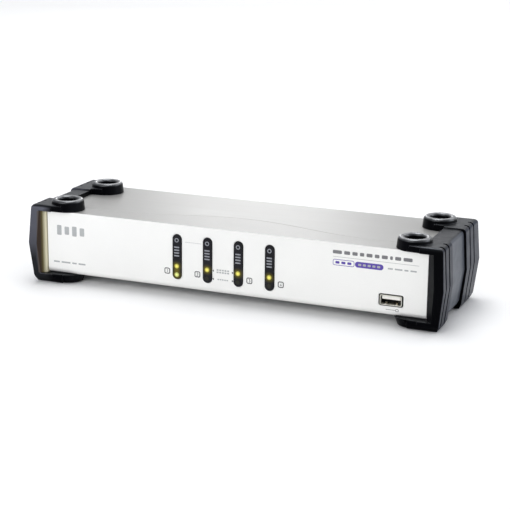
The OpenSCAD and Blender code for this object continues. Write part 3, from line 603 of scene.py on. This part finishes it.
# The other slots: material name, colour, roughness and the rest of surface()'s values.
PLAIN = {
    "chassis_steel": ("chassis_steel", (0.50, 0.51, 0.51), 0.34, dict(
        metal=0.85, spread=0.07, patch=55, stretch=(0.15, 1, 1), bump=0.08,
        worn=(0.75, 0.75, 0.74))),
    "pad_rubber": ("pad_rubber", (0.018, 0.018, 0.018), 0.78, dict(
        spread=0.25, grain=1900, bump=0.35, depth=0.00008, specular=0.3)),
    "screw_black": ("screw_black_oxide", (0.045, 0.045, 0.05), 0.36, dict(
        metal=0.8, spread=0.2, grain=2400, worn=(0.35, 0.34, 0.33))),
    "screw_steel": ("screw_nickel", (0.66, 0.65, 0.62), 0.26,
                    dict(PLATED, worn=(0.85, 0.84, 0.8))),
    "brass": ("turned_brass", (0.72, 0.50, 0.20), 0.28, dict(PLATED, worn=(0.85, 0.68, 0.38))),
    "black_plastic": ("black_plastic", (0.020, 0.020, 0.021), 0.42, MOULD),
    "led_white": ("led_resin", (0.80, 0.78, 0.62), 0.22, dict(MOULD, coat=0.5)),
    "shell_steel": ("stamped_shell", (0.74, 0.73, 0.68), 0.22,
                    dict(PLATED, worn=(0.9, 0.89, 0.85))),
    "insert_white": ("white_insert", (0.78, 0.77, 0.72), 0.38, MOULD),
    "insert_blue": ("blue_insert", (0.02, 0.07, 0.36), 0.36, MOULD),
    "insert_yellow": ("yellow_insert", (0.72, 0.46, 0.03), 0.36, MOULD),
    "insert_purple": ("purple_insert", (0.20, 0.08, 0.40), 0.36, MOULD),
    "insert_green": ("green_insert", (0.03, 0.34, 0.17), 0.36, MOULD),
    "jack_green": ("lime_jack", (0.25, 0.55, 0.14), 0.36, MOULD),
    "jack_pink": ("pink_jack", (0.75, 0.24, 0.32), 0.36, MOULD),
}
finishes = {}  # one material for each slot
worn_by = {}   # the material of each node


def finish_for(slot):
    if slot not in finishes:
        if slot in SPECIAL:
            finishes[slot] = SPECIAL[slot]()
        else:
            name, colour, rough, rest = PLAIN[slot]
            finishes[slot] = surface(name, colour, rough, **rest)
    return finishes[slot]


def dress_nodes():
    for part in frame["record"]["subparts"]:
        node, slot = part["node"], part["material_slot"]
        if slot == "button_gloss":
            material = button_finish(int(node[-1]))
        elif slot == "light_pipe":
            material = lens_finish(int(node[-1]))
        elif node == "front_usb_shell":
            material = front_shell_finish()
        else:
            material = finish_for(slot)
        worn_by[node] = material
        dress(NODES[node], material)


# ---------------------------------------------------------------- rounded shells

# Nodes whose sharp edges are broken, and by how much, in metres.
ROUNDED = (
    ("left_end_bracket", 0.0003), ("right_end_bracket", 0.0003), ("front_bezel", 0.0002),
    ("top_cover", 0.0002), ("base_chassis", 0.0001), ("port_button_1", 0.0001),
    ("port_button_2", 0.0001), ("port_button_3", 0.0001), ("port_button_4", 0.0001),
)
SHARP_ANGLE, FLAT_ANGLE, WELD = math.radians(28), math.radians(0.5), 2e-6


def rounded(node, width):
    """Stands in for a CAD node: the same shape, with its sharp edges broken."""
    bm = bmesh.new()
    bm.from_mesh(NODES[node].data)
    bmesh.ops.remove_doubles(bm, verts=bm.verts, dist=WELD)
    bmesh.ops.dissolve_limit(bm, angle_limit=FLAT_ANGLE, verts=bm.verts, edges=bm.edges)
    mesh = NODES[node].data.copy()
    bm.to_mesh(mesh)
    bm.free()
    mesh.shade_smooth()
    piece = add_piece(node + "_finished", mesh, worn_by[node], body_of(NODES[node])[0])
    bevel = piece.modifiers.new("broken_edges", "BEVEL")
    bevel.width, bevel.segments = width, 2
    bevel.limit_method, bevel.angle_limit = "ANGLE", SHARP_ANGLE
    bevel.use_clamp_overlap = False
    flat = piece.modifiers.new("flat_faces", "WEIGHTED_NORMAL")
    flat.mode, flat.weight, flat.keep_sharp = "FACE_AREA", 100, True
    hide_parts(node)


# ---------------------------------------------------------------- thin marks on a wall

# All the sizes below, up to the end of the details, are in millimetres.
FRONT = span("front_bezel")[0].y
REAR = span("base_chassis")[1].y
MARK_T, MARK_SUNK = 0.03, 0.01  # how far a mark stands proud of its wall and reaches into it
# Strokes of each numeral in a box of 1 by 1.
DIGITS = {
    1: [[(0.28, 0.80), (0.55, 1), (0.55, 0)]],
    2: [[(0.12, 0.80), (0.30, 1), (0.70, 1), (0.88, 0.80), (0.84, 0.58), (0.12, 0), (0.9, 0)]],
    3: [[(0.14, 0.88), (0.34, 1), (0.68, 1), (0.86, 0.78), (0.66, 0.54), (0.42, 0.54)],
        [(0.66, 0.54), (0.90, 0.28), (0.68, 0), (0.30, 0), (0.12, 0.14)]],
    4: [[(0.70, 0), (0.70, 1), (0.10, 0.30), (0.94, 0.30)]],
}
PORTS = (1, 2, 3, 4)


def flat_lines(name, lines, width, material, plane=FRONT, facing=-1):
    """Thin raised lines on a wall that faces along Y; each line is (its points, closed)."""
    curve = bpy.data.curves.new(name, "CURVE")
    curve.dimensions = "3D"
    curve.bevel_depth = width / 2
    curve.bevel_resolution = 2
    curve.use_fill_caps = True
    for points, closed in lines:
        spline = curve.splines.new("POLY")
        spline.points.add(len(points) - 1)
        for point, (x, z) in zip(spline.points, points):
            point.co = (x, 0, z, 1)
        spline.use_cyclic_u = closed
    holder = bpy.data.objects.new(name, curve)
    mesh = bpy.data.meshes.new_from_object(holder)
    bpy.data.objects.remove(holder)
    # Each round line is pressed flat against the wall.
    for vertex in mesh.vertices:
        across = vertex.co.y / (width / 2)
        vertex.co.y = plane + facing * MARK_T * (across * 0.5 + 0.4)
        vertex.co *= MM
    if facing > 0:
        mesh.flip_normals()
    mesh.shade_smooth()
    add_piece(name, mesh, material)


def prism(bm, ends):
    """Closes two outlines that have the same number of corners into one solid."""
    first, last = ends
    for i in range(len(first)):
        j = (i + 1) % len(first)
        bm.faces.new((first[i], first[j], last[j], last[i]))
    bm.faces.new(first)
    bm.faces.new(reversed(last))


def flat_shapes(name, outlines, material, plane=FRONT):
    """Thin filled shapes on the front; each outline is a list of (x, z)."""
    bm = bmesh.new()
    for outline in outlines:
        prism(bm, [[bm.verts.new((x * MM, y * MM, z * MM)) for x, z in outline]
                   for y in (plane + MARK_SUNK, plane - MARK_T)])
    bmesh.ops.recalc_face_normals(bm, faces=bm.faces)
    add_piece(name, mesh_from(bm, name), material)


def rounded_box(x, z, w, h, r, steps=5):
    """Outline of a rectangle with round corners, centred on (x, z)."""
    points = []
    for i, (sx, sz) in enumerate(((1, 1), (-1, 1), (-1, -1), (1, -1))):
        for k in range(steps + 1):
            a = math.pi / 2 * (i + k / steps)
            points.append((x + sx * (w / 2 - r) + r * math.cos(a),
                           z + sz * (h / 2 - r) + r * math.sin(a)))
    return points


def row_of_bars(x, z, lengths, height, gap, r):
    """Plain bars side by side, in place of a line of words that starts at x."""
    bars = []
    for length in lengths:
        bars.append(rounded_box(x + length / 2, z, length, height, r))
        x += length + gap
    return bars


def digit(number, x, z, w, h, side=1):
    """Strokes of a numeral centred on (x, z); side is -1 where it is read from the rear."""
    return [([(x + side * (u - 0.5) * w, z + (v - 0.5) * h) for u, v in stroke], False)
            for stroke in DIGITS[number]]


def line(x_from, x_to, z):
    return [(x_from, z), (x_to, z)], False


def ink(name, colour, rough=0.5):
    return surface(name, colour, rough, spread=0.05, patch=300, grain=4000, bump=0.05,
                   depth=0.00001)


# ---------------------------------------------------------------- printed marks

def button_marks(grey, pale):
    keys = [centre("port_button_%d" % n).x for n in PORTS]
    # Port numbers, left of the first two buttons and right of the others.
    level = 16.8
    frames, numerals = [], []
    for n, key in zip(PORTS, keys):
        x = key - 6.8 if n < 3 else key + 7.3
        frames.append((rounded_box(x, level, 3.3, 3.3, 0.8), True))
        numerals += digit(n, x, level, 1.1, 1.7)
    flat_lines("port_number_frames", frames, 0.58, grey)
    flat_lines("port_numerals", numerals, 0.40, grey)
    # A hairline between the first two buttons, and two rows of plain dashes between
    # the middle two, each with small arrowheads that point at the lamps.
    flat_lines("button_hairline", [line(keys[0] + 5.2, keys[1] - 4.2, 36.3)], 0.22, pale)
    middle = (keys[1] + keys[2]) / 2
    dashes, arrows = [], []
    for z, rows, size in ((20.4, (0.75, -0.75), 1.0), (15.2, (0,), 0.85)):
        dashes += [rounded_box(middle + k * 1.75 * size, z + row, 1.3 * size, 0.9 * size, 0.2)
                   for row in rows for k in (-2, -1, 0, 1, 2)]
        for side in (-1, 1):
            x = middle + side * 6.0
            arrows.append([(x + side * 1.0, z), (x, z + 0.8), (x, z - 0.8)])
    flat_shapes("lamp_dashes", dashes, pale)
    flat_shapes("lamp_arrows", arrows, grey)


def name_marks(pale, violet):
    """Plain bars where the real front carries names."""
    title = row_of_bars(66.8, 41.2, (5.6, 3.6, 3.2, 2.6, 3.6, 2.8, 3.6, 1.6, 3.6, 5.4),
                        2.1, 1.45, 0.5)
    flat_shapes("title_bars", title, ink("dark_ink", (0.19, 0.19, 0.195)))
    level = 34.9
    flat_shapes("violet_badge", [rounded_box(89.4, level, 17.4, 3.5, 1.7, 8)], violet)
    flat_lines("badge_frame", [(rounded_box(73.6, level, 13.0, 3.4, 1.0), True)], 0.34, violet)
    flat_shapes("badge_bars", [rounded_box(69.8 + 3.7 * k, level, 2.5, 1.5, 0.4)
                               for k in range(3)], violet)
    flat_shapes("badge_dots", [rounded_box(83.6 + 2.9 * k, level, 1.9, 1.3, 0.4)
                               for k in range(5)], pale, FRONT - MARK_T)
    flat_lines("title_rule", [line(67, 119.5, 38.3)], 0.24, pale)
    flat_shapes("small_bars", row_of_bars(100.8, 34.7, (3.0, 4.6, 2.4, 3.8), 0.9, 1.2, 0.25),
                pale)
    flat_shapes("corner_bars", row_of_bars(-121.0, 13.8, (4.2, 6.4, 3.2, 5.0), 1.0, 1.3, 0.3),
                pale)
    corner = [rounded_box(-116.6 + 5.4 * k, 34.7, 3.2, 6.4 - 1.2 * (k % 2), 0.6)
              for k in range(4)]
    flat_shapes("corner_mark", corner, ink("mid_ink", (0.42, 0.43, 0.43)))


def front_print():
    grey = ink("grey_ink", (0.060, 0.062, 0.066))
    pale = ink("pale_ink", (0.40, 0.41, 0.41))
    violet = ink("violet_ink", (0.10, 0.06, 0.36), 0.35)
    button_marks(grey, pale)
    name_marks(pale, violet)
    # A plain plug mark under the socket.
    x, z = centre("front_usb_shell").x, 9.9
    flat_lines("socket_mark", [line(x - 3, x + 3, z),
                               (rounded_box(x + 3.9, z, 1.6, 1.3, 0.3), True)], 0.24, grey)


def rear_print():
    dark = ink("rear_ink", (0.10, 0.10, 0.11))
    ports = span("computer_port_shells")
    first, pitch, level = ports[0].x + 15.4, 31.6, 31.1
    numerals, frames = [], []
    for n in PORTS:
        x = first + pitch * (n - 1)
        numerals += digit(n, x, level, 1.5, 2.3, side=-1)
        frames.append((rounded_box(x, level, 4.0, 4.0, 1.0), True))
    rule = line(ports[0].x + 1, ports[1].x - 1, span("jack_nuts")[0].z - 4.4)
    for name, lines, width in (("rear_numerals", numerals, 0.34),
                               ("rear_number_frames", frames, 0.26),
                               ("rear_port_rule", [rule], 0.3)):
        flat_lines(name, lines, width, dark, REAR, facing=1)


# ---------------------------------------------------------------- front socket

def usb_contacts():
    """Four flat contacts on the tongue, each with a raised tip."""
    gold = surface("contact_gold", (0.83, 0.58, 0.22), 0.24, metal=1.0, spread=0.05,
                   patch=400, grain=5000, bump=0.05, depth=0.00001)
    low, high = span("front_usb_shell")
    middle = centre("front_usb_shell")
    tip, tail, z = low.y + 1.6, high.y - 3, middle.z + 0.3
    pitch, half_width = 2.25, 0.55
    section = [(tip, z - 0.02), (tip + 0.6, z - 0.14), (tip + 6.5, z - 0.14),
               (tail, z - 0.05), (tail, z + 0.05), (tip, z + 0.05)]
    bm = bmesh.new()
    for k in range(4):
        x = middle.x + (k - 1.5) * pitch
        prism(bm, [[bm.verts.new((edge * MM, y * MM, h * MM)) for y, h in section]
                   for edge in (x - half_width, x + half_width)])
    bmesh.ops.recalc_face_normals(bm, faces=bm.faces)
    add_piece("usb_contacts", mesh_from(bm, "usb_contacts"), gold)


def spring_leaf(bm, x, wall, inward):
    """A leaf punched from the shell's wall, bent into the opening and narrower at its tip."""
    steps, length, rise, gauge = 8, 5.5, 1.15, 0.2
    mouth = span("front_usb_shell")[0].y + 0.4
    below, above = [], []
    for k in range(steps + 1):
        t = k / steps
        lift = 0.02 + rise * math.sin(math.pi * min(1, t * 1.25)) ** 2 * (t < 0.8)
        half = 1.1 - 0.25 * t
        for rows, level in ((below, 0), (above, gauge)):
            z = wall + inward * (lift + level - gauge / 2)
            rows.append([bm.verts.new((edge * MM, (mouth + length * t) * MM, z * MM))
                         for edge in (x - half, x + half)])
    for k in range(steps):
        for rows in (below, above):
            bm.faces.new((rows[k][0], rows[k][1], rows[k + 1][1], rows[k + 1][0]))
        for edge in (0, 1):
            bm.faces.new((below[k][edge], below[k + 1][edge], above[k + 1][edge],
                          above[k][edge]))
    for end in (0, steps):
        bm.faces.new((below[end][0], below[end][1], above[end][1], above[end][0]))


def usb_springs():
    low, high = span("front_usb_shell")
    x, inset = centre("front_usb_shell").x, 0.35
    bm = bmesh.new()
    for wall, inward in ((low.z + inset, 1), (high.z - inset, -1)):
        for offset in (-3.4, 3.4):
            spring_leaf(bm, x + offset, wall, inward)
    bmesh.ops.recalc_face_normals(bm, faces=bm.faces)
    mesh = mesh_from(bm, "usb_springs")
    mesh.shade_smooth()
    add_piece("usb_springs", mesh, finish_for("shell_steel"))


def usb_gap_shade():
    """A dark ring in the gap between the shell and its window in the panel: painted shade,
    standing in for the shadow in that gap.
    """
    middle = centre("front_usb_shell")
    flat_lines("usb_gap_shade", [(rounded_box(middle.x, middle.z, 14.2, 6.65, 1.0), True)], 0.72,
               finish_for("pad_rubber"), FRONT + 0.5)


make_camera()
make_stage()
dress_nodes()
for node, width in ROUNDED:
    rounded(node, width)
front_print()
rear_print()
usb_contacts()
usb_springs()
usb_gap_shade()
